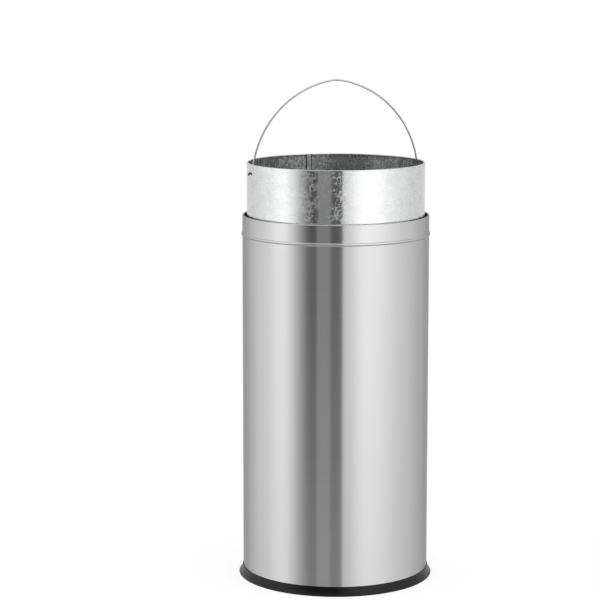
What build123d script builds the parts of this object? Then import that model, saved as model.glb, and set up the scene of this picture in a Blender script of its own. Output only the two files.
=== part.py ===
from build123d import *
import math
import os

# Tall round waste bin of brushed stainless steel with a galvanised inner bucket, in millimetres.
# The origin is the middle of the face that the bin stands on, and +Z is up.
# The bail of the bucket pivots about X, and the lock seam of the bucket is at the back, at +Y.
# The bucket is drawn lifted part of the way out of the casing, with its bail held upright.

# Casing: one rolled sheet with a bead below its rim
casing_radius = 150.0
casing_height = 589.5
casing_sheet = 0.7
casing_curl_radius = 1.5
casing_curl_turn = 270.0
bead_drop = 30.6
bead_proud = 1.7
bead_crown_radius = 2.2
bead_blend_radius = 1.0
foot_flange = 9.0
foot_bend = 2.0

# Casing floor: a pressed disc that lies on the flange at the foot of the casing
floor_sheet = 0.8
floor_fit = 0.3
floor_upstand = 11.0
floor_bend = 2.4
panel_margin = 26.0
panel_rise = 4.0
panel_bend = 3.0

# Base ring: a flared plastic ring that the casing stands in
ring_height = 14.4
ring_flare = 6.9
ring_hollow = 1.0
ring_lip = 0.9
ring_lip_edge = 0.4
ring_toe = 1.6
ring_ledge = 3.0
ring_ledge_width = 12.0
ring_fit = 0.15

# Bucket: one rolled sheet closed by a folded lock seam
bucket_gap = 4.4
bucket_seat_gap = 0.3
bucket_rim_drop = 13.0
bucket_lift = 97.1
bucket_sheet = 0.6
bucket_curl_radius = 1.3
bucket_curl_turn = 270.0
seam_width = 7.0
seam_thickness = 1.2
seam_edge = 0.5
seam_end_gap = 0.5
groove_width = 0.8
groove_depth = 0.25

# Bucket floor: a pressed disc whose edge is folded round a flange at the foot of the bucket
hem_flange = 1.9
hem_bend = 0.7
hem_fit = 0.15
hem_lip = 1.0
bucket_floor_rise = 9.0
bucket_floor_bend = 1.8
swage_radius = 96.0
swage_rise = 1.8
swage_crown_radius = 4.0
swage_blend_radius = 3.0

# Bail: one wire, arched over the bucket and hooked through a hole in each side of it
wire_diameter = 3.0
bail_hole_drop = 14.4
bail_hole_fit = 0.35
bail_wall_gap = 1.6
bail_leg_lean = 5.0
bail_arch_offset = 18.0
bail_apex_radius = 60.0
hook_bend = 2.6
hook_tip_bend = 1.9
hook_tip_length = 1.6
hook_casing_gap = 0.5
wire_end_edge = 0.3

# Sizes that follow from the ones above
casing_inner = casing_radius - casing_sheet
casing_mouth = casing_radius - 2 * casing_curl_radius
floor_underside = ring_ledge + casing_sheet
floor_level = floor_underside + floor_sheet

bucket_radius = casing_mouth - bucket_gap
bucket_inner = bucket_radius - bucket_sheet
bucket_base = floor_level + bucket_seat_gap + bucket_lift
bucket_rim = casing_height - bucket_rim_drop + bucket_lift
bucket_floor_level = bucket_base + bucket_floor_rise

wire_radius = wire_diameter / 2
pivot_height = bucket_rim - bail_hole_drop

os.makedirs("parts", exist_ok=True)


def bend_turn(step, radii):
    """Turn in degrees of each of two opposite bends that step a sheet sideways."""
    return math.degrees(math.acos(1 - step / radii))


# Casing shell: the line is the outside of the sheet, from the foot flange up to the curled rim
bead_radii = bead_crown_radius + bead_blend_radius
bead_turn = bend_turn(bead_proud, bead_radii)
bead_half_height = bead_radii * math.sin(math.radians(bead_turn))
bead_start = casing_height - bead_drop - bead_half_height

with BuildPart() as casing_shell:
    with BuildSketch(Plane.XZ) as casing_section:
        with BuildLine() as casing_outside:
            foot = Line((casing_radius - foot_flange, ring_ledge), (casing_radius - foot_bend, ring_ledge))
            heel = JernArc(foot @ 1, foot % 1, foot_bend, 90)
            wall = Line(heel @ 1, (casing_radius, bead_start))
            bead_in = JernArc(wall @ 1, wall % 1, bead_blend_radius, -bead_turn)
            bead_crown = JernArc(bead_in @ 1, bead_in % 1, bead_crown_radius, 2 * bead_turn)
            bead_out = JernArc(bead_crown @ 1, bead_crown % 1, bead_blend_radius, -bead_turn)
            collar = Line(bead_out @ 1, (casing_radius, casing_height - casing_curl_radius))
            JernArc(collar @ 1, collar % 1, casing_curl_radius, casing_curl_turn)
            offset(amount=casing_sheet, side=Side.LEFT)
        make_face()
    revolve(axis=Axis.Z)

casing_shell.part.label = "casing_shell"
export_step(casing_shell.part, "parts/casing_shell.step")


# Casing floor: its edge is turned up inside the casing, and its middle is pressed up by one step
floor_radius = casing_inner - floor_fit
panel_radius = casing_inner - panel_margin
panel_turn = bend_turn(panel_rise, 2 * panel_bend)

with BuildPart() as casing_floor:
    with BuildSketch(Plane.XZ) as floor_section:
        with BuildLine() as floor_line:
            panel = Line((0, floor_underside + panel_rise), (panel_radius, floor_underside + panel_rise))
            step_down = JernArc(panel @ 1, panel % 1, panel_bend, -panel_turn)
            step_out = JernArc(step_down @ 1, step_down % 1, panel_bend, panel_turn)
            margin = Line(step_out @ 1, (floor_radius - floor_bend, floor_underside))
            upturn = JernArc(margin @ 1, margin % 1, floor_bend, 90)
            Line(upturn @ 1, (floor_radius, floor_underside + floor_upstand))
            offset(amount=floor_sheet, side=Side.LEFT)
        make_face()
    revolve(axis=Axis.Z)

casing_floor.part.label = "casing_floor"
export_step(casing_floor.part, "parts/casing_floor.step")


# Base ring: it grips the casing's foot, carries it on a ledge and flares out to a wide toe
ring_bore = casing_radius + ring_fit
ring_ledge_radius = casing_radius - ring_ledge_width
ring_lip_radius = ring_bore + ring_lip
ring_radius = casing_radius + ring_flare
ring_waist = ((ring_lip_radius + ring_radius) / 2 - ring_hollow, (ring_height + ring_toe) / 2)

with BuildPart() as base_ring:
    with BuildSketch(Plane.XZ) as ring_section:
        with BuildLine() as ring_outline:
            Polyline(
                (ring_radius - ring_toe, 0),
                (ring_ledge_radius, 0),
                (ring_ledge_radius, ring_ledge),
                (ring_bore, ring_ledge),
                (ring_bore, ring_height),
                (ring_lip_radius, ring_height),
            )
            toe = CenterArc((ring_radius - ring_toe, ring_toe), ring_toe, -90, 90)
            ThreePointArc(toe @ 1, ring_waist, (ring_lip_radius, ring_height))
        make_face()
        fillet(ring_section.vertices().group_by(Axis.Y)[-1], ring_lip_edge)
    revolve(axis=Axis.Z)

base_ring.part.label = "base_ring"
export_step(base_ring.part, "parts/base_ring.step")


# Bucket shell: the line is the outside of the sheet, from the hem flange up to the curled rim
flange_top = bucket_base + 2 * bucket_sheet + hem_fit
flange_radius = bucket_radius + hem_flange
seam_bottom = bucket_floor_level + seam_end_gap
seam_top = bucket_rim - 2 * bucket_curl_radius - seam_end_gap

with BuildPart() as bucket_shell:
    with BuildSketch(Plane.XZ) as bucket_section:
        with BuildLine() as bucket_outside:
            flange = Line((flange_radius, flange_top), (bucket_radius + hem_bend, flange_top))
            ankle = JernArc(flange @ 1, flange % 1, hem_bend, -90)
            side = Line(ankle @ 1, (bucket_radius, bucket_rim - bucket_curl_radius))
            JernArc(side @ 1, side % 1, bucket_curl_radius, bucket_curl_turn)
            offset(amount=bucket_sheet, side=Side.LEFT)
        make_face()
    revolve(axis=Axis.Z)

    # The folded lock seam stands inside the wall, and leaves a groove beside it on the outside
    with BuildSketch(Plane.XY.offset(seam_bottom)) as seam_section:
        Circle(bucket_inner + bucket_sheet / 2)
        Circle(bucket_inner - seam_thickness, mode=Mode.SUBTRACT)
        with Locations((0, bucket_inner)):
            Rectangle(seam_width, 4 * seam_thickness, mode=Mode.INTERSECT)
        fillet(seam_section.vertices().group_by(Axis.Y)[0], seam_edge)
    extrude(amount=seam_top - seam_bottom)
    with BuildSketch(Plane.XY.offset(seam_bottom)) as groove_section:
        with Locations(((seam_width + groove_width) / 2, bucket_radius)):
            Rectangle(groove_width, 2 * groove_depth)
    extrude(amount=seam_top - seam_bottom, mode=Mode.SUBTRACT)

    # One hole on each side for the hooks of the bail
    with Locations((0, 0, pivot_height)):
        Cylinder(wire_radius + bail_hole_fit, 2 * bucket_radius + 1, rotation=(0, 90, 0), mode=Mode.SUBTRACT)

bucket_shell.part.label = "bucket_shell"
export_step(bucket_shell.part, "parts/bucket_shell.step")


# Bucket floor: the line is the upper side of the sheet, from the middle out to the folded lip
leg_radius = bucket_inner - hem_fit
hem_inside = bucket_base + bucket_sheet
swage_radii = swage_crown_radius + swage_blend_radius
swage_turn = bend_turn(swage_rise, swage_radii)
swage_half_width = swage_radii * math.sin(math.radians(swage_turn))

with BuildPart() as bucket_floor:
    with BuildSketch(Plane.XZ) as bucket_floor_section:
        with BuildLine() as bucket_floor_top:
            middle = Line((0, bucket_floor_level), (swage_radius - swage_half_width, bucket_floor_level))
            swage_in = JernArc(middle @ 1, middle % 1, swage_blend_radius, swage_turn)
            swage_crown = JernArc(swage_in @ 1, swage_in % 1, swage_crown_radius, -2 * swage_turn)
            swage_out = JernArc(swage_crown @ 1, swage_crown % 1, swage_blend_radius, swage_turn)
            outer = Line(swage_out @ 1, (leg_radius - bucket_floor_bend, bucket_floor_level))
            shoulder = JernArc(outer @ 1, outer % 1, bucket_floor_bend, -90)
            leg = Line(shoulder @ 1, (leg_radius, flange_top + hem_bend))
            hem_turn = JernArc(leg @ 1, leg % 1, hem_bend + bucket_sheet + hem_fit, 90)
            sole = Line(hem_turn @ 1, (flange_radius, hem_inside))
            fold = JernArc(sole @ 1, sole % 1, bucket_sheet / 2 + hem_fit, 180)
            Line(fold @ 1, (flange_radius - hem_lip, flange_top + hem_fit))
            offset(amount=bucket_sheet, side=Side.RIGHT)
        make_face()
    revolve(axis=Axis.Z)

bucket_floor.part.label = "bucket_floor"
export_step(bucket_floor.part, "parts/bucket_floor.step")


# Bail handle: half the wire is drawn from its hooked tip up to the apex, and then mirrored
bail_plane = Plane(origin=(0, 0, pivot_height), x_dir=(1, 0, 0), z_dir=(0, -1, 0))
tip_x = casing_mouth - hook_casing_gap - wire_radius
arch_start_x = bucket_inner - bail_wall_gap - wire_radius
hook_turn = 90 - bail_leg_lean
hook_end_x = arch_start_x + hook_bend * math.sin(math.radians(hook_turn))
arch_radius = (arch_start_x + bail_arch_offset) / math.cos(math.radians(bail_leg_lean))
apex_turn = math.degrees(math.asin(bail_arch_offset / (arch_radius - bail_apex_radius)))

with BuildPart() as bail_handle:
    with BuildLine(bail_plane) as bail_path:
        tip = Line((tip_x, -hook_tip_bend - hook_tip_length), (tip_x, -hook_tip_bend))
        tip_bend = JernArc(tip @ 1, tip % 1, hook_tip_bend, 90)
        pin = Line(tip_bend @ 1, (hook_end_x, 0))
        hook = JernArc(pin @ 1, pin % 1, hook_bend, -hook_turn)
        arch = JernArc(hook @ 1, hook % 1, arch_radius, hook_turn - apex_turn)
        JernArc(arch @ 1, arch % 1, bail_apex_radius, apex_turn)
        mirror(about=Plane.YZ)
    with BuildSketch(Plane(origin=tip @ 0, z_dir=tip % 0)) as wire_section:
        Circle(wire_radius)
    sweep(path=bail_path.wire())
    fillet(bail_handle.edges().filter_by(GeomType.CIRCLE).group_by(Axis.Z)[0], wire_end_edge)

bail_handle.part.label = "bail_handle"
export_step(bail_handle.part, "parts/bail_handle.step")
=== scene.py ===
import math

import bmesh
import bpy
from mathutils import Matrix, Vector


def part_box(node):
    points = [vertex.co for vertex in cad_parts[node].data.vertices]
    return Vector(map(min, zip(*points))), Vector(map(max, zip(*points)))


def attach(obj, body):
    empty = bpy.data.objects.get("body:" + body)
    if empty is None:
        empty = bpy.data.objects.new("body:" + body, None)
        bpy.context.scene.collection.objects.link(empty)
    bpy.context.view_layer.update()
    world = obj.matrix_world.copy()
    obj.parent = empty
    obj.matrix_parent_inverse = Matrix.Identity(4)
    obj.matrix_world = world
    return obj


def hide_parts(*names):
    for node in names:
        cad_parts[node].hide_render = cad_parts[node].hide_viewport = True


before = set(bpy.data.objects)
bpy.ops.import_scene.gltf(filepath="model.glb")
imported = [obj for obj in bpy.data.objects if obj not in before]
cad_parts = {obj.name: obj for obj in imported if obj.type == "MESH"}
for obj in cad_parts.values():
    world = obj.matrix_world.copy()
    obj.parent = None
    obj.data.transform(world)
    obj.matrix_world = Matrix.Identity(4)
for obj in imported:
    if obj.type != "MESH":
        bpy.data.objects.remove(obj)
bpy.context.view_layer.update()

# Looks of a tall round waste bin of brushed steel with a galvanised inner bucket, in metres.
# Each sheet-metal part is turned again from the CAD part's own section, with more segments,
# so that the long reflections run smoothly round it.

# Sizes of the sheets and their folds
CASING_SHEET = 0.0007
CASING_FLANGE = 0.009
CASING_FOOT_BEND = 0.002
CASING_CURL_RADIUS = 0.0015
BEAD_DROP = 0.0306
BEAD_PROUD = 0.0017
BEAD_CROWN_RADIUS = 0.0022
BEAD_BLEND_RADIUS = 0.001

FLOOR_SHEET = 0.0008
FLOOR_BEND = 0.0024
PANEL_MARGIN = 0.0257
PANEL_RISE = 0.004
PANEL_BEND = 0.003

RING_LIP = 0.0009
RING_FIT = 0.00015
RING_LIP_EDGE = 0.0004
RING_TOE = 0.0016
RING_HOLLOW = 0.001
RING_LEDGE = 0.003
RING_LEDGE_WIDTH = 0.012

BUCKET_SHEET = 0.0006
BUCKET_CURL_RADIUS = 0.0013
CURL_TURN = 270
HOLE_BAND = 0.005
SEAM_WIDTH = 0.007
SEAM_THICKNESS = 0.0012
SEAM_EDGE = 0.0005
SEAM_END_GAP = 0.0005
GROOVE_WIDTH = 0.0008
GROOVE_DEPTH = 0.00025

HEM_FLANGE = 0.0019
HEM_BEND = 0.0007
HEM_FIT = 0.00015
HEM_LIP = 0.001
BUCKET_FLOOR_RISE = 0.009
BUCKET_FLOOR_BEND = 0.0018
SWAGE_RADIUS = 0.096
SWAGE_RISE = 0.0018
SWAGE_CROWN_RADIUS = 0.004
SWAGE_BLEND_RADIUS = 0.003

WIRE_RADIUS = 0.0015
BAIL_HOLE_DROP = 0.0144
BAIL_HOLE_FIT = 0.00035
BAIL_WALL_GAP = 0.0016
BAIL_LEG_LEAN = 5.0
BAIL_ARCH_OFFSET = 0.018
BAIL_APEX_RADIUS = 0.06
HOOK_BEND = 0.0026
HOOK_TIP_BEND = 0.0019
HOOK_TIP_LENGTH = 0.0016
WIRE_END_EDGE = 0.0003

# Fineness of the meshes, with steps and the angle of a crisp edge in degrees
TURNED_SEGMENTS = 288
BEND_STEP = 15
FLARE_STEPS = 12
HOLE_SIDES = 32
WIRE_STEP = 3
WIRE_SIDES = 20
CRISP_ANGLE = 35

# Finishes: tone is the brightness of the base colour
NEUTRAL = (1.0, 1.0, 1.0)
STEEL_TONE = 0.62
STEEL_ROUGHNESS = 0.19
STEEL_EDGE_TINT = (0.55, 0.55, 0.55, 1.0)
BRUSH_LENGTHENING = 0.012
WELD_CORE, WELD_EDGE = 0.0004, 0.0011
WELD_DARKENING = -0.10

ZINC_TINT = (0.985, 1.0, 0.995)
ZINC_TONE = 0.75
ZINC_ROUGHNESS = 0.12
FLOOR_ZINC_ROUGHNESS = 0.26
SEAM_ZINC_TONE = 0.66
SEAM_ZINC_ROUGHNESS = 0.28
CRYSTALS_PER_METRE = 75
FLECKS_PER_METRE = 400
FEATHERS_PER_METRE = 420
FEATHER_REACH = 0.005
CRYSTAL_LEAN = 0.006
FLECK_SHARE_SPREAD = 0.7
FLECK_FROM, FLECK_TO = 0.90, 1.10
FLECK_ROUGHNESS = 0.20
INSIDE_FLECK_ROUGHNESS = 0.10
INSIDE_ROUGHNESS = 0.14
# Painted shade: the share of its tone that the inside of the bucket's wall keeps
INSIDE_SHADE_TONE = 0.83
# Painted shade: dark lines in the creases where the lock seam's folds meet the wall
FOLD_SHADE_CORE, FOLD_SHADE_EDGE = 0.0006, 0.0012
FOLD_SHADE_DARKNESS = 0.85

PLASTIC_TONE = 0.0008
PLASTIC_ROUGHNESS = 0.24
PLASTIC_SPECULAR = 0.3

WIRE_TONE = 0.48
WIRE_ROUGHNESS = 0.26
# Painted shade on the wire's hooks: the length over which it sets in, and the share of tone it leaves
HOOK_SHADE_FADE = 0.002
HOOK_SHADE_TONE = 0.16


def extents(node):
    """Radius, lowest height and highest height of a round CAD part."""
    low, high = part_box(node)
    return high[0], low[2], high[2]


casing_widest, casing_foot, casing_top = extents("casing_shell")
casing_radius = casing_widest - BEAD_PROUD
flange_radius, bucket_foot, bucket_top = extents("bucket_shell")
bucket_radius = flange_radius - HEM_FLANGE
pivot_height = bucket_top - BAIL_HOLE_DROP


# Drawing of sections

class Outline:
    """A smooth line of runs and bends in the plane of radius and height, as a strip is folded."""

    def __init__(self, start, heading, step=BEND_STEP):
        self.points = [Vector(start)]
        self.headings = [math.radians(heading)]
        self.step = math.radians(step)

    def forward(self):
        return Vector((math.cos(self.headings[-1]), math.sin(self.headings[-1])))

    def run(self, length):
        """A straight stretch along the heading."""
        self.points.append(self.points[-1] + length * self.forward())
        self.headings.append(self.headings[-1])
        return self

    def run_to(self, radius=None, height=None):
        """A straight stretch that ends at a radius or at a height."""
        ahead = self.forward()
        if radius is not None:
            return self.run((radius - self.points[-1].x) / ahead.x)
        return self.run((height - self.points[-1].y) / ahead.y)

    def bend(self, radius, turn):
        """An arc that turns to the left by so many degrees, or to the right if negative."""
        turn = math.radians(turn)
        steps = max(2, math.ceil(abs(turn) / self.step))
        chord = 2 * radius * math.sin(abs(turn) / steps / 2)
        for _ in range(steps):
            middle = self.headings[-1] + turn / steps / 2
            self.points.append(self.points[-1] + chord * Vector((math.cos(middle), math.sin(middle))))
            self.headings.append(self.headings[-1] + turn / steps)
        return self

    def sheet(self, thickness):
        """The closed section of a sheet that lies to the left of the line, or to the right if negative."""
        other = [
            point + thickness * Vector((-math.sin(heading), math.cos(heading)))
            for point, heading in zip(self.points, self.headings)
        ]
        return self.points + other[::-1]


def sideways_turn(step, radii):
    """Turn in degrees of each of two opposite bends that step a sheet sideways."""
    return math.degrees(math.acos(1 - step / radii))


def corner(centre, radius, start, end, steps=6):
    """Points of a rounded corner from one angle to another, in degrees."""
    angles = [math.radians(start + (end - start) * i / steps) for i in range(steps + 1)]
    return [Vector(centre) + radius * Vector((math.cos(a), math.sin(a))) for a in angles]


# Making of meshes

def finish_mesh(name, work, material):
    """A smooth-shaded object from a bmesh, with edges kept crisp where faces meet at a steep angle."""
    bmesh.ops.recalc_face_normals(work, faces=work.faces)
    mesh = bpy.data.meshes.new(name)
    work.to_mesh(mesh)
    work.free()
    piece = bpy.data.objects.new(name, mesh)
    bpy.context.scene.collection.objects.link(piece)
    mesh.materials.append(material)
    shade(mesh)
    return piece


def shade(mesh):
    mesh.shade_smooth()
    mesh.set_sharp_from_angle(angle=math.radians(CRISP_ANGLE))


def turned(name, section, material):
    """A closed section of (radius, height) points turned about the Z axis."""
    work = bmesh.new()
    rings = []
    for turn in range(TURNED_SEGMENTS):
        angle = 2 * math.pi * turn / TURNED_SEGMENTS
        rings.append([
            work.verts.new((p.x * math.cos(angle), p.x * math.sin(angle), p.y)) for p in section
        ])
    for ring, following in zip(rings, rings[1:] + rings[:1]):
        for i in range(len(section)):
            work.faces.new((ring[i - 1], following[i - 1], following[i], ring[i]))
    bmesh.ops.remove_doubles(work, verts=work.verts, dist=1e-7)
    return finish_mesh(name, work, material)


def tube(name, path, radius, edge, material):
    """A round wire along a line in the XZ plane, with its two ends slightly eased."""
    work = bmesh.new()
    rings = []
    last = len(path.points) - 1
    for i, (point, heading) in enumerate(zip(path.points, path.headings)):
        ahead = Vector((math.cos(heading), 0, math.sin(heading)))
        side = Vector((-math.sin(heading), 0, math.cos(heading)))
        centre = Vector((point.x, 0, point.y))
        if i == 0:
            stations = [(0, radius - edge), (edge, radius)]
        elif i == last:
            stations = [(-edge, radius), (0, radius - edge)]
        else:
            stations = [(0, radius)]
        for shift, size in stations:
            angles = [2 * math.pi * k / WIRE_SIDES for k in range(WIRE_SIDES)]
            rings.append([
                work.verts.new(centre + shift * ahead
                               + size * (math.cos(a) * side + math.sin(a) * Vector((0, 1, 0))))
                for a in angles
            ])
    for ring, following in zip(rings, rings[1:]):
        for k in range(WIRE_SIDES):
            work.faces.new((ring[k - 1], following[k - 1], following[k], ring[k]))
    work.faces.new(rings[0])
    work.faces.new(rings[-1])
    return finish_mesh(name, work, material)


def cut(piece, cutters):
    """Takes the cutters out of a piece, and then deletes them."""
    for cutter in cutters:
        modifier = piece.modifiers.new("cut", "BOOLEAN")
        modifier.operation = "DIFFERENCE"
        modifier.object = cutter
    graph = bpy.context.evaluated_depsgraph_get()
    mesh = bpy.data.meshes.new_from_object(piece.evaluated_get(graph))
    piece.modifiers.clear()
    piece.data = mesh
    shade(mesh)
    for cutter in cutters:
        bpy.data.objects.remove(cutter)


def place(piece, body, node):
    """The piece rides on its body and stands for a CAD part, which it hides."""
    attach(piece, body)
    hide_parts(node)


# Node helpers

def add(tree, kind, inputs=None, **settings):
    """A new node. The inputs give each socket, by name or number, its value or the output linked to it."""
    made = tree.nodes.new(kind)
    for name, value in settings.items():
        setattr(made, name, value)
    for socket, value in (inputs or {}).items():
        if isinstance(value, bpy.types.NodeSocket):
            tree.links.new(value, made.inputs[socket])
        else:
            made.inputs[socket].default_value = value
    return made


def calc(tree, operation, *values):
    """Output of a Math node."""
    return add(tree, "ShaderNodeMath", dict(enumerate(values)), operation=operation).outputs[0]


def ramp(tree, value, low, high, to_low=0.0, to_high=1.0):
    """A value eased from one range to another, and held at its ends."""
    inputs = {"Value": value, "From Min": low, "From Max": high, "To Min": to_low, "To Max": to_high}
    return add(tree, "ShaderNodeMapRange", inputs, interpolation_type="SMOOTHSTEP").outputs[0]


def mixed(tree, factor, a, b):
    """A number between two others."""
    return add(tree, "ShaderNodeMix", {0: factor, 2: a, 3: b}, data_type="FLOAT").outputs[0]


def tinted(tree, brightness, tint):
    """A colour of one tint at a brightness that varies."""
    scaled = add(tree, "ShaderNodeVectorMath", {0: tint, "Scale": brightness}, operation="SCALE")
    return scaled.outputs[0]


def new_material(name):
    """A material, its node tree and its shader."""
    material = bpy.data.materials.new(name)
    material.use_nodes = True
    return material, material.node_tree, material.node_tree.nodes["Principled BSDF"]


def set_inputs(tree, shader, inputs):
    for socket, value in inputs.items():
        if isinstance(value, bpy.types.NodeSocket):
            tree.links.new(value, shader.inputs[socket])
        else:
            shader.inputs[socket].default_value = value


# Materials

def brushed_steel(name, radius):
    """Stainless sheet brushed round the bin, with its ground weld at the back."""
    material, tree, shader = new_material(name)
    spot = add(tree, "ShaderNodeTexCoord").outputs["Object"]
    parts = add(tree, "ShaderNodeSeparateXYZ", {0: spot}).outputs
    angle = calc(tree, "ARCTAN2", parts["X"], calc(tree, "MULTIPLY", parts["Y"], -1))
    around = calc(tree, "MULTIPLY", angle, radius)
    lengthened = calc(tree, "MULTIPLY", around, BRUSH_LENGTHENING)
    lines_at = add(tree, "ShaderNodeCombineXYZ", {0: lengthened, 1: parts["Z"]}).outputs[0]
    fine = add(tree, "ShaderNodeTexNoise", {"Vector": lines_at, "Scale": 4200, "Detail": 3})
    wide = add(tree, "ShaderNodeTexNoise", {"Vector": lines_at, "Scale": 420, "Detail": 2})
    cloud = add(tree, "ShaderNodeTexNoise", {"Vector": spot, "Scale": 7, "Detail": 2})

    grain = calc(tree, "MULTIPLY_ADD", fine.outputs[0], 0.04, -0.02)
    bands = calc(tree, "MULTIPLY_ADD", wide.outputs[0], 0.03, -0.015)
    stain = calc(tree, "MULTIPLY_ADD", cloud.outputs[0], 0.02, -0.01)
    tone = calc(tree, "ADD", calc(tree, "ADD", grain, bands), calc(tree, "ADD", stain, STEEL_TONE))
    from_front = calc(tree, "ABSOLUTE", around)
    from_back = calc(tree, "ABSOLUTE", calc(tree, "SUBTRACT", from_front, math.pi * radius))
    tone = calc(tree, "ADD", tone, ramp(tree, from_back, WELD_CORE, WELD_EDGE, WELD_DARKENING, 0.0))
    bump = add(tree, "ShaderNodeBump", {"Strength": 0.25, "Distance": 0.000008, "Height": fine.outputs[0]})
    set_inputs(tree, shader, {
        "Base Color": tinted(tree, tone, NEUTRAL),
        "Metallic": 1.0,
        "Roughness": calc(tree, "MULTIPLY_ADD", wide.outputs[0], 0.04, STEEL_ROUGHNESS),
        "Specular Tint": STEEL_EDGE_TINT,
        "Anisotropic": 0.9,
        "Anisotropic Rotation": 0.25,
        "Tangent": add(tree, "ShaderNodeTangent", direction_type="RADIAL", axis="Z").outputs[0],
        "Normal": bump.outputs[0],
    })
    return material


def galvanised(name, brightness, roughness, wall=None):
    """Zinc-coated sheet: a smooth coat with dull feathered flecks, more of them in some crystals.

    wall is given for the bucket's wall alone: the radius within which its colour is darkened as painted
    shade and its coat dulled, and how far from the middle of its lock seam at +Y the dark lines of painted
    shade in the folds stand, two inside and one outside.
    """
    material, tree, shader = new_material(name)
    spot = add(tree, "ShaderNodeTexCoord").outputs["Object"]
    feather = add(tree, "ShaderNodeTexNoise", {"Vector": spot, "Scale": FEATHERS_PER_METRE, "Detail": 3})
    pulled = add(tree, "ShaderNodeVectorMath",
                 {0: feather.outputs["Color"], 1: 3 * (FEATHER_REACH,), 2: spot}, operation="MULTIPLY_ADD")
    crystal = add(tree, "ShaderNodeTexVoronoi", {"Vector": pulled.outputs[0], "Scale": CRYSTALS_PER_METRE})
    fleck = add(tree, "ShaderNodeTexVoronoi", {"Vector": pulled.outputs[0], "Scale": FLECKS_PER_METRE})
    kind = add(tree, "ShaderNodeSeparateColor", {0: crystal.outputs["Color"]}).outputs
    grey = add(tree, "ShaderNodeSeparateColor", {0: fleck.outputs["Color"]}).outputs

    share = calc(tree, "MULTIPLY_ADD", kind[0], FLECK_SHARE_SPREAD, grey[0])
    dull = ramp(tree, share, FLECK_FROM, FLECK_TO)
    sheen = calc(tree, "MULTIPLY_ADD", dull, FLECK_ROUGHNESS, roughness)
    tone = calc(tree, "MULTIPLY_ADD", kind[1], 0.05, brightness - 0.04)
    tone = calc(tree, "MULTIPLY_ADD", grey[1], 0.03, tone)
    tone = calc(tree, "MULTIPLY_ADD", dull, 0.07, tone)
    if wall:
        inner_radius, crease_shade_at = wall
        parts = add(tree, "ShaderNodeSeparateXYZ", {0: spot}).outputs
        flat = add(tree, "ShaderNodeCombineXYZ", {0: parts["X"], 1: parts["Y"]}).outputs[0]
        from_axis = add(tree, "ShaderNodeVectorMath", {0: flat}, operation="LENGTH").outputs["Value"]
        inside = calc(tree, "LESS_THAN", from_axis, inner_radius)
        worn = calc(tree, "MULTIPLY_ADD", dull, INSIDE_FLECK_ROUGHNESS, roughness + INSIDE_ROUGHNESS)
        sheen = mixed(tree, inside, sheen, worn)
        # Painted shade: the inside of the wall is painted darker
        painted_inside_shade = calc(tree, "MULTIPLY", tone, INSIDE_SHADE_TONE)
        from_middle = calc(tree, "ABSOLUTE", parts["X"])
        from_crease_shade = calc(tree, "ABSOLUTE", calc(tree, "SUBTRACT", from_middle, crease_shade_at))
        # Painted shade in the creases beside the lock seam, on the inside and in the outer groove
        line = ramp(tree, from_crease_shade, FOLD_SHADE_CORE, FOLD_SHADE_EDGE, FOLD_SHADE_DARKNESS, 0.0)
        on_seam = calc(tree, "MULTIPLY", calc(tree, "GREATER_THAN", parts["Y"], 0.0),
                       calc(tree, "MAXIMUM", inside, calc(tree, "GREATER_THAN", parts["X"], 0.0)))
        tone = mixed(tree, calc(tree, "MULTIPLY", line, on_seam), mixed(tree, inside, tone, painted_inside_shade), 0.0)
    lean = add(tree, "ShaderNodeVectorMath",
               {0: crystal.outputs["Color"], 1: 3 * (2 * CRYSTAL_LEAN,), 2: 3 * (-CRYSTAL_LEAN,)},
               operation="MULTIPLY_ADD")
    surface = add(tree, "ShaderNodeNewGeometry").outputs["Normal"]
    leaning = add(tree, "ShaderNodeVectorMath", {0: surface, 1: lean.outputs[0]}, operation="ADD")
    normal = add(tree, "ShaderNodeVectorMath", {0: leaning.outputs[0]}, operation="NORMALIZE")
    set_inputs(tree, shader, {
        "Base Color": tinted(tree, tone, ZINC_TINT),
        "Metallic": 1.0,
        "Roughness": sheen,
        "Normal": normal.outputs[0],
    })
    return material


def black_plastic():
    """Moulded black plastic with a fine grain and a faint bloom."""
    material, tree, shader = new_material("base_ring_plastic")
    spot = add(tree, "ShaderNodeTexCoord").outputs["Object"]
    grain = add(tree, "ShaderNodeTexNoise", {"Vector": spot, "Scale": 1800, "Detail": 2})
    bloom = add(tree, "ShaderNodeTexNoise", {"Vector": spot, "Scale": 30, "Detail": 3})
    tone = calc(tree, "MULTIPLY_ADD", bloom.outputs[0], 0.002, PLASTIC_TONE)
    bump = add(tree, "ShaderNodeBump", {"Strength": 0.3, "Distance": 0.00006, "Height": grain.outputs[0]})
    set_inputs(tree, shader, {
        "Base Color": tinted(tree, tone, NEUTRAL),
        "Specular IOR Level": PLASTIC_SPECULAR,
        "Roughness": calc(tree, "MULTIPLY_ADD", bloom.outputs[0], 0.1, PLASTIC_ROUGHNESS),
        "Normal": bump.outputs[0],
    })
    return material


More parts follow.
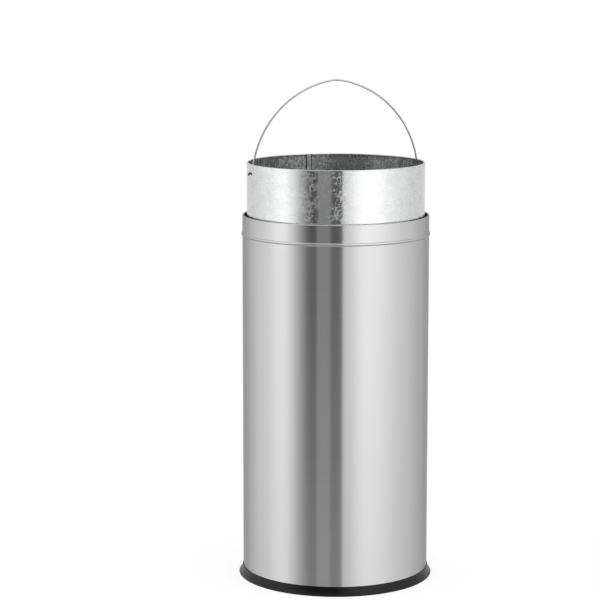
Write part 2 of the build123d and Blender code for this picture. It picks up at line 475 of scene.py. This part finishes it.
def drawn_wire(hook_from):
    """Zinc-plated wire with marks left by drawing it, and painted shade that darkens its hooks."""
    material, tree, shader = new_material("bail_wire_zinc")
    spot = add(tree, "ShaderNodeTexCoord").outputs["Object"]
    parts = add(tree, "ShaderNodeSeparateXYZ", {0: spot}).outputs
    mark = add(tree, "ShaderNodeTexNoise", {"Vector": spot, "Scale": 900, "Detail": 4})
    plating = add(tree, "ShaderNodeTexNoise", {"Vector": spot, "Scale": 60, "Detail": 2})
    out = calc(tree, "ABSOLUTE", parts["X"])
    # Painted shade: the wire is painted darker beyond hook_from, on its hooks
    painted_hook_shade = ramp(tree, out, hook_from, hook_from + HOOK_SHADE_FADE, 1.0, HOOK_SHADE_TONE)
    tone = calc(tree, "MULTIPLY", calc(tree, "MULTIPLY_ADD", plating.outputs[0], 0.12, WIRE_TONE), painted_hook_shade)
    bump = add(tree, "ShaderNodeBump", {"Strength": 0.3, "Distance": 0.00003, "Height": mark.outputs[0]})
    set_inputs(tree, shader, {
        "Base Color": tinted(tree, tone, NEUTRAL),
        "Metallic": 1.0,
        "Roughness": calc(tree, "MULTIPLY_ADD", mark.outputs[0], 0.12, WIRE_ROUGHNESS),
        "Normal": bump.outputs[0],
    })
    return material


# Pieces

def casing_section():
    """The casing's wall from its foot flange, over the bead, to the curl at its mouth."""
    radii = BEAD_CROWN_RADIUS + BEAD_BLEND_RADIUS
    turn = sideways_turn(BEAD_PROUD, radii)
    bead_start = casing_top - BEAD_DROP - radii * math.sin(math.radians(turn))
    line = Outline((casing_radius - CASING_FLANGE, casing_foot), 0)
    line.run_to(radius=casing_radius - CASING_FOOT_BEND).bend(CASING_FOOT_BEND, 90)
    line.run_to(height=bead_start)
    line.bend(BEAD_BLEND_RADIUS, -turn).bend(BEAD_CROWN_RADIUS, 2 * turn).bend(BEAD_BLEND_RADIUS, -turn)
    line.run_to(height=casing_top - CASING_CURL_RADIUS).bend(CASING_CURL_RADIUS, CURL_TURN)
    return line.sheet(CASING_SHEET)


def casing_floor_section():
    """The pressed disc at the foot of the casing, with its edge turned up."""
    radius, underside, top = extents("casing_floor")
    turn = sideways_turn(PANEL_RISE, 2 * PANEL_BEND)
    line = Outline((0, underside + PANEL_RISE), 0)
    line.run_to(radius=radius - PANEL_MARGIN).bend(PANEL_BEND, -turn).bend(PANEL_BEND, turn)
    line.run_to(radius=radius - FLOOR_BEND).bend(FLOOR_BEND, 90).run_to(height=top)
    return line.sheet(FLOOR_SHEET)


def base_ring_section():
    """The flared ring, hollow between its lip and its toe."""
    radius, bottom, top = extents("base_ring")
    bore = casing_radius + RING_FIT
    lip = bore + RING_LIP
    toe = corner((radius - RING_TOE, RING_TOE), RING_TOE, -90, 0)
    middle = (Vector((radius, RING_TOE)) + Vector((lip, top))) / 2 - Vector((RING_HOLLOW, 0))
    knee = 2 * middle - (Vector((radius, RING_TOE)) + Vector((lip, top))) / 2
    flare = []
    for i in range(1, FLARE_STEPS):
        share = i / FLARE_STEPS
        first = Vector((radius, RING_TOE)).lerp(knee, share)
        flare.append(first.lerp(knee.lerp(Vector((lip, top)), share), share))
    flare = [point for point in flare if point.y < top - RING_LIP_EDGE]
    outer_lip = corner((lip - RING_LIP_EDGE, top - RING_LIP_EDGE), RING_LIP_EDGE, 25, 90, 4)
    inner_lip = corner((bore + RING_LIP_EDGE, top - RING_LIP_EDGE), RING_LIP_EDGE, 90, 180, 4)
    ledge = casing_radius - RING_LEDGE_WIDTH
    seat = [Vector((bore, RING_LEDGE)), Vector((ledge, RING_LEDGE)), Vector((ledge, bottom))]
    return toe + flare + outer_lip + inner_lip + seat


def bucket_section():
    """The bucket's wall from the flange at its foot to the curl at its rim."""
    line = Outline((flange_radius, bucket_foot + BUCKET_SHEET), 180)
    line.run_to(radius=bucket_radius + HEM_BEND).bend(HEM_BEND, -90)
    for height in (pivot_height - HOLE_BAND, pivot_height + HOLE_BAND, bucket_top - BUCKET_CURL_RADIUS):
        line.run_to(height=height)
    line.bend(BUCKET_CURL_RADIUS, CURL_TURN)
    return line.sheet(BUCKET_SHEET)


def bucket_floor_section():
    """The bucket's pressed floor, folded round the flange of the wall at its edge."""
    flange_top = bucket_foot + BUCKET_SHEET
    base = flange_top - 2 * BUCKET_SHEET - HEM_FIT
    level = base + BUCKET_FLOOR_RISE
    leg = bucket_radius - BUCKET_SHEET - HEM_FIT
    radii = SWAGE_CROWN_RADIUS + SWAGE_BLEND_RADIUS
    turn = sideways_turn(SWAGE_RISE, radii)
    line = Outline((0, level), 0)
    line.run_to(radius=SWAGE_RADIUS - radii * math.sin(math.radians(turn)))
    line.bend(SWAGE_BLEND_RADIUS, turn).bend(SWAGE_CROWN_RADIUS, -2 * turn).bend(SWAGE_BLEND_RADIUS, turn)
    line.run_to(radius=leg - BUCKET_FLOOR_BEND).bend(BUCKET_FLOOR_BEND, -90)
    line.run_to(height=flange_top + HEM_BEND).bend(HEM_BEND + BUCKET_SHEET + HEM_FIT, 90)
    line.run_to(radius=flange_radius).bend(BUCKET_SHEET / 2 + HEM_FIT, 180)
    line.run_to(radius=flange_radius - HEM_LIP)
    return line.sheet(-BUCKET_SHEET)


def bucket_wall(material):
    """The wall, cut along the groove beside its seam and round its two bail holes.

    The cut leaves the discs of the holes in place, so the wire passes through closed sheet there.
    """
    wall = turned("bucket_wall", bucket_section(), material)
    hole = bmesh.new()
    hole_radius = WIRE_RADIUS + BAIL_HOLE_FIT
    bmesh.ops.create_cone(hole, cap_ends=True, segments=HOLE_SIDES, depth=2.2 * bucket_radius,
                          radius1=hole_radius, radius2=hole_radius)
    for vert in hole.verts:
        vert.co = (vert.co.z, vert.co.y, vert.co.x + pivot_height)
    groove = bmesh.new()
    bmesh.ops.create_cube(groove, size=1)
    low, high = seam_heights()
    for vert in groove.verts:
        vert.co = (vert.co.x * GROOVE_WIDTH + (SEAM_WIDTH + GROOVE_WIDTH) / 2,
                   vert.co.y * 2 * GROOVE_DEPTH + bucket_radius,
                   vert.co.z * (high - low) + (high + low) / 2)
    cut(wall, [finish_mesh("hole", hole, material), finish_mesh("groove", groove, material)])
    return wall


def seam_heights():
    """Lowest and highest point of the bucket's lock seam."""
    base = bucket_foot - BUCKET_SHEET - HEM_FIT
    return base + BUCKET_FLOOR_RISE + SEAM_END_GAP, bucket_top - 2 * BUCKET_CURL_RADIUS - SEAM_END_GAP


def lock_seam(material):
    """The folded strip that stands inside the bucket's wall at the back."""
    inner = bucket_radius - BUCKET_SHEET
    face = inner - SEAM_THICKNESS
    half = SEAM_WIDTH / 2
    left = corner((-half + SEAM_EDGE, face + SEAM_EDGE), SEAM_EDGE, 180, 270, 4)
    right = corner((half - SEAM_EDGE, face + SEAM_EDGE), SEAM_EDGE, 270, 360, 4)
    back = inner + BUCKET_SHEET / 2
    profile = left + right + [Vector((half, back)), Vector((-half, back))]
    work = bmesh.new()
    low, high = seam_heights()
    bottom = [work.verts.new((p.x, p.y, low)) for p in profile]
    top = [work.verts.new((p.x, p.y, high)) for p in profile]
    for i in range(len(profile)):
        work.faces.new((bottom[i - 1], bottom[i], top[i], top[i - 1]))
    work.faces.new(bottom)
    work.faces.new(top)
    return finish_mesh("bucket_seam", work, material)


def bail_line():
    """The wire's middle line from one hooked tip over the apex to the other."""
    tip_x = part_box("bail_handle")[1][0] - WIRE_RADIUS
    arch_x = bucket_radius - BUCKET_SHEET - BAIL_WALL_GAP - WIRE_RADIUS
    hook_turn = 90 - BAIL_LEG_LEAN
    hook_end = arch_x + HOOK_BEND * math.sin(math.radians(hook_turn))
    arch_radius = (arch_x + BAIL_ARCH_OFFSET) / math.cos(math.radians(BAIL_LEG_LEAN))
    apex_turn = math.degrees(math.asin(BAIL_ARCH_OFFSET / (arch_radius - BAIL_APEX_RADIUS)))
    line = Outline((tip_x, pivot_height - HOOK_TIP_BEND - HOOK_TIP_LENGTH), 90, WIRE_STEP)
    line.run(HOOK_TIP_LENGTH).bend(HOOK_TIP_BEND, 90).run_to(radius=hook_end)
    line.bend(HOOK_BEND, -hook_turn).bend(arch_radius, hook_turn - apex_turn)
    line.bend(BAIL_APEX_RADIUS, 2 * apex_turn).bend(arch_radius, hook_turn - apex_turn)
    line.bend(HOOK_BEND, -hook_turn).run_to(radius=-tip_x + HOOK_TIP_BEND)
    line.bend(HOOK_TIP_BEND, 90).run(HOOK_TIP_LENGTH)
    return line


casing_finish = brushed_steel("casing_brushed_steel", casing_radius)
floor_zinc = galvanised("floor_zinc", ZINC_TONE, FLOOR_ZINC_ROUGHNESS)
seam_zinc = galvanised("seam_zinc", SEAM_ZINC_TONE, SEAM_ZINC_ROUGHNESS)
wall_zinc = galvanised("bucket_wall_zinc", ZINC_TONE, ZINC_ROUGHNESS,
                       (bucket_radius - BUCKET_SHEET / 2, SEAM_WIDTH / 2 + SEAM_EDGE))

casing = turned("casing_wall", casing_section(), casing_finish)
place(casing, "casing", "casing_shell")
casing_disc = turned("casing_disc", casing_floor_section(), floor_zinc)
place(casing_disc, "casing", "casing_floor")
base = turned("base_flare", base_ring_section(), black_plastic())
place(base, "casing", "base_ring")

wall = bucket_wall(wall_zinc)
place(wall, "bucket", "bucket_shell")
seam = lock_seam(seam_zinc)
place(seam, "bucket", "bucket_shell")
bucket_disc = turned("bucket_disc", bucket_floor_section(), floor_zinc)
place(bucket_disc, "bucket", "bucket_floor")
wire_finish = drawn_wire(bucket_radius - BUCKET_SHEET - BAIL_WALL_GAP)
bail = tube("bail_wire", bail_line(), WIRE_RADIUS, WIRE_END_EDGE, wire_finish)
place(bail, "bail", "bail_handle")


# Studio: a pale floor, and soft light panels and cards that stand round the bin, far off.
# Angles are in degrees round the bin from the photograph's viewpoint, growing to its right.
VIEW_AZIMUTH = -17.5
VIEW_PITCH = 8.98
VIEW_FROM = (-1.1571, -3.4790, 1.0289)
VIEW_LENS = 138.04

ROOM = 0.74
# name: (left edge, its softness, right edge, its softness, brightness)
PANELS = {
    "left wall": (-120, 50, -40, 20, 0.98),
    "left panel": (-86, 30, -30, 20, 1.30),
    "left gap": (-50, 42, -23, 3, 0.09),
    "grey card": (-23, 3, -8, 3, 0.285),
    "dark card": (-8, 3, 8, 3, 0.11),
    "right wall": (8, 3, 106, 36, 0.92),
    "right panel": (23, 26, 68, 56, 1.40),
}
# The floor and the ceiling take over between these slopes of a ray, from -1 straight down to 1 straight up.
FLOOR_GLOW = 0.62
FLOOR_FROM, FLOOR_TO = -0.26, -0.62
CEILING_GLOW = 1.0
CEILING_FROM, CEILING_TO = 0.6, 0.95

FLOOR_RADIUS = 60
FLOOR_DROP = 0.0002
FLOOR_PAINT = 0.89
FLOOR_LIT = 1.1
FLOOR_LIT_SHARE = 0.75


def studio_light():
    world = bpy.data.worlds.new("studio")
    bpy.context.scene.world = world
    world.use_nodes = True
    tree = world.node_tree
    tree.nodes.clear()
    direction = add(tree, "ShaderNodeTexCoord").outputs["Generated"]
    turned_to_view = add(tree, "ShaderNodeVectorRotate",
                         {"Vector": direction, "Angle": -math.radians(VIEW_AZIMUTH)}, rotation_type="Z_AXIS")
    parts = add(tree, "ShaderNodeSeparateXYZ", {0: turned_to_view.outputs[0]}).outputs
    angle = calc(tree, "ARCTAN2", parts["X"], calc(tree, "MULTIPLY", parts["Y"], -1))
    angle = calc(tree, "MULTIPLY", angle, 180 / math.pi)
    light = ROOM
    for left, left_soft, right, right_soft, brightness in PANELS.values():
        rising = ramp(tree, angle, left - left_soft / 2, left + left_soft / 2)
        falling = ramp(tree, angle, right - right_soft / 2, right + right_soft / 2, 1.0, 0.0)
        light = mixed(tree, calc(tree, "MULTIPLY", rising, falling), light, brightness)
    light = mixed(tree, ramp(tree, parts["Z"], FLOOR_FROM, FLOOR_TO), light, FLOOR_GLOW)
    light = mixed(tree, ramp(tree, parts["Z"], CEILING_FROM, CEILING_TO), light, CEILING_GLOW)
    to_camera = add(tree, "ShaderNodeLightPath").outputs["Is Camera Ray"]
    light = mixed(tree, to_camera, light, 1.0)
    background = add(tree, "ShaderNodeBackground", {"Color": (1, 1, 1, 1), "Strength": light})
    add(tree, "ShaderNodeOutputWorld", {"Surface": background.outputs[0]})


def studio_floor():
    """A wide white floor that keeps a faint shadow of the bin."""
    work = bmesh.new()
    bmesh.ops.create_circle(work, cap_ends=True, segments=96, radius=FLOOR_RADIUS)
    material, tree, shader = new_material("floor_white")
    tree.nodes.remove(shader)
    spot = add(tree, "ShaderNodeTexCoord").outputs["Object"]
    mottle = add(tree, "ShaderNodeTexNoise", {"Vector": spot, "Scale": 40})
    paint = calc(tree, "MULTIPLY_ADD", mottle.outputs[0], 0.01, FLOOR_PAINT)
    matt = add(tree, "ShaderNodeBsdfDiffuse", {"Color": tinted(tree, paint, NEUTRAL)})
    lit = add(tree, "ShaderNodeEmission", {"Color": (1, 1, 1, 1), "Strength": FLOOR_LIT})
    to_camera = add(tree, "ShaderNodeLightPath").outputs["Is Camera Ray"]
    share = calc(tree, "MULTIPLY", to_camera, FLOOR_LIT_SHARE)
    both = add(tree, "ShaderNodeMixShader", {0: share, 1: matt.outputs[0], 2: lit.outputs[0]})
    tree.links.new(both.outputs[0], tree.nodes["Material Output"].inputs["Surface"])
    floor = finish_mesh("floor", work, material)
    floor.location.z = -FLOOR_DROP
    floor.visible_glossy = False


def photo_camera():
    data = bpy.data.cameras.new("camera")
    data.lens = VIEW_LENS
    data.sensor_width = 36
    data.clip_end = 200
    camera = bpy.data.objects.new("camera", data)
    camera.location = VIEW_FROM
    camera.rotation_euler = (math.radians(90 - VIEW_PITCH), 0, math.radians(VIEW_AZIMUTH))
    bpy.context.scene.collection.objects.link(camera)
    bpy.context.scene.camera = camera


studio_light()
studio_floor()
photo_camera()
bpy.context.scene.view_settings.view_transform = "Standard"
